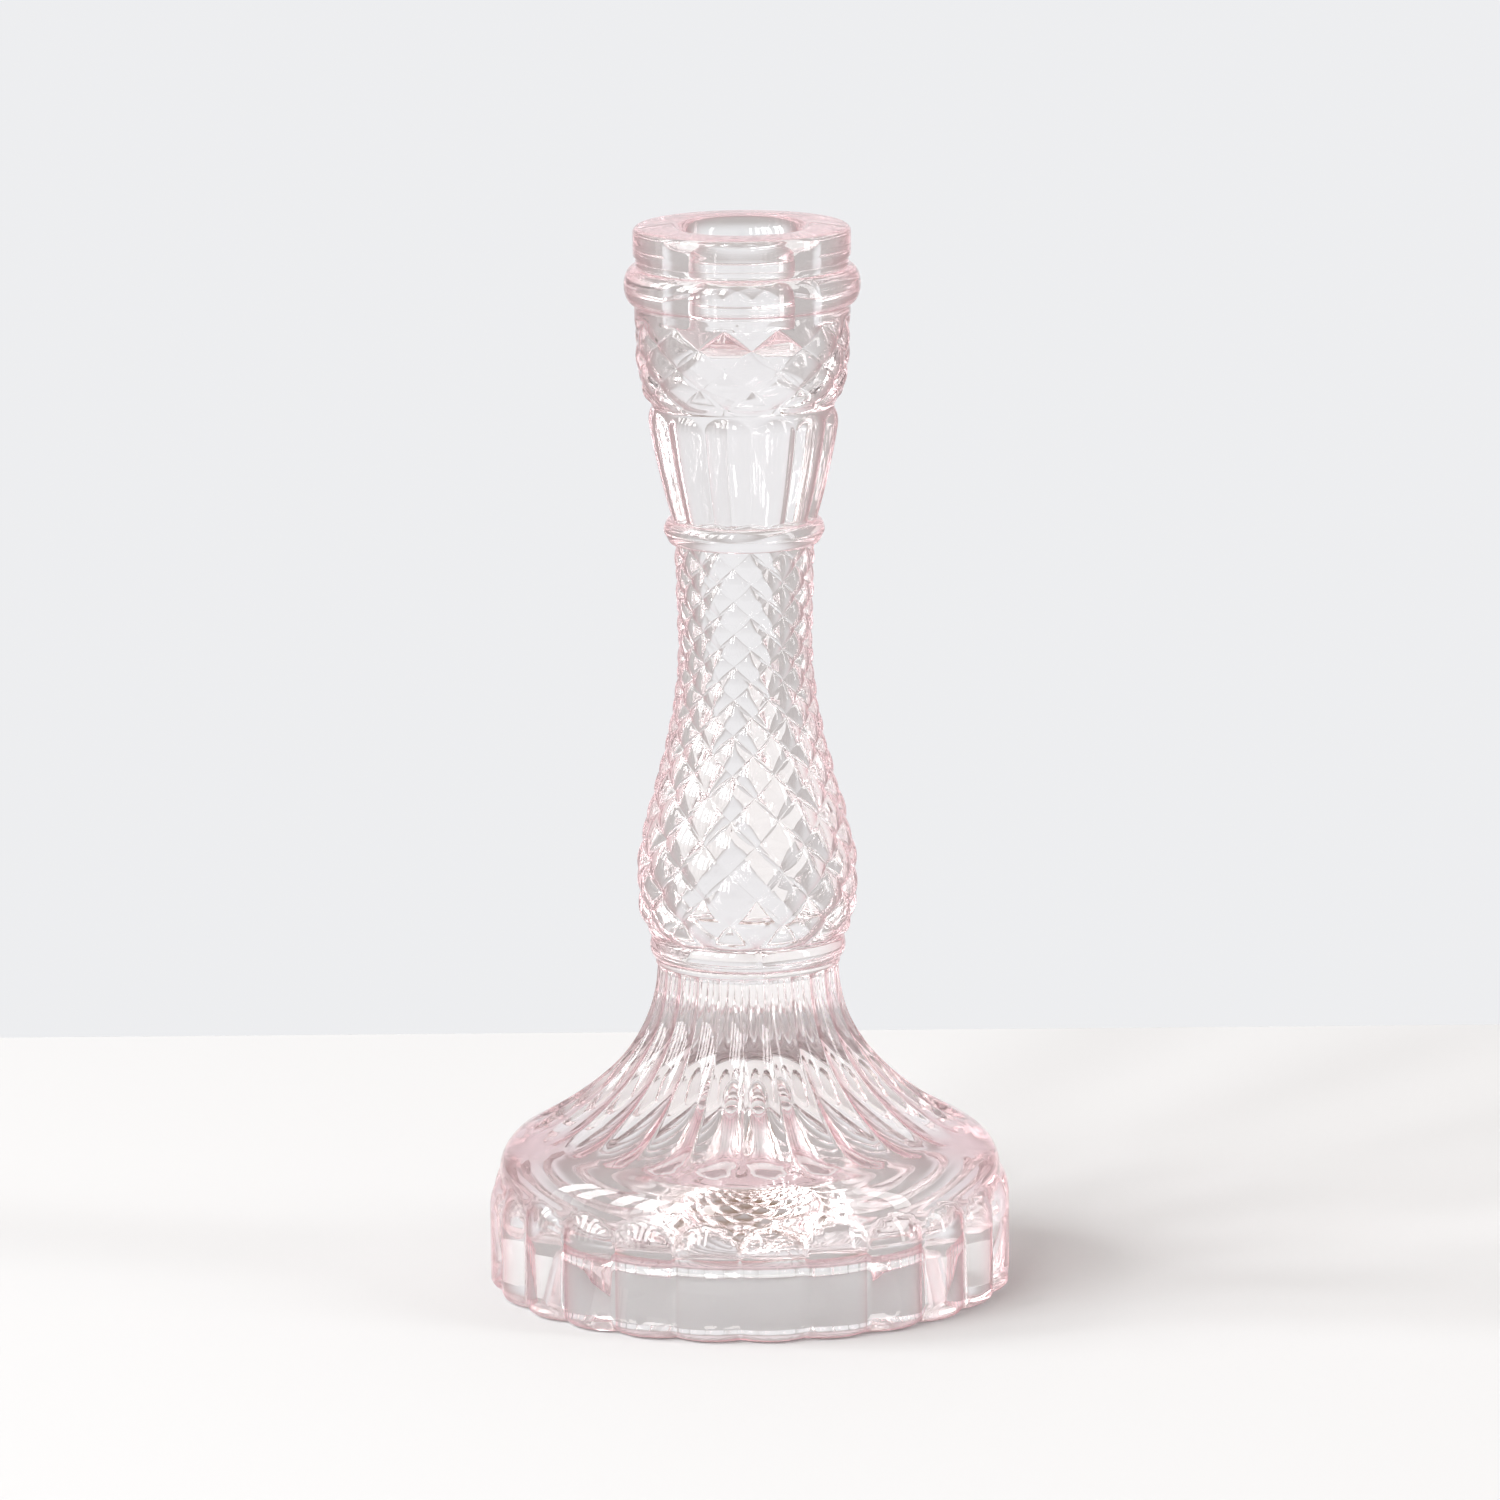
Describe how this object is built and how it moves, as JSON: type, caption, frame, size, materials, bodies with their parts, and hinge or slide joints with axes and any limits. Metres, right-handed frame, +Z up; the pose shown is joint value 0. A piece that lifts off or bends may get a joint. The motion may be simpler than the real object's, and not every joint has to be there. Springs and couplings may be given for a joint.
{
  "type": "glass candlestick",
  "caption": "Pressed pink glass candlestick with a round socket, a reeded cup, a diamond-cut stem and a fluted hollow foot.",
  "frame": {"origin": "on the axis, on the plane that the foot stands on", "axes": "+Z up along the axis, towards the candle; -Y is the front, through the middle of a skirt lobe"},
  "size_m": [0.1124, 0.1124, 0.23],
  "materials": {
    "rose_glass": "clear pressed glass with a pale rose tint, fire polished, with a ground rim underneath"
  },
  "bodies": {
    "root": {"socket_lip": "rose_glass", "rim_bead": "rose_glass", "cup_band": "rose_glass", "cup_reeds": "rose_glass", "cup_collar": "rose_glass", "stem_neck": "rose_glass", "stem_bulb": "rose_glass", "foot_collar": "rose_glass", "foot_dome": "rose_glass", "foot_skirt": "rose_glass"}
  },
  "joints": []
}
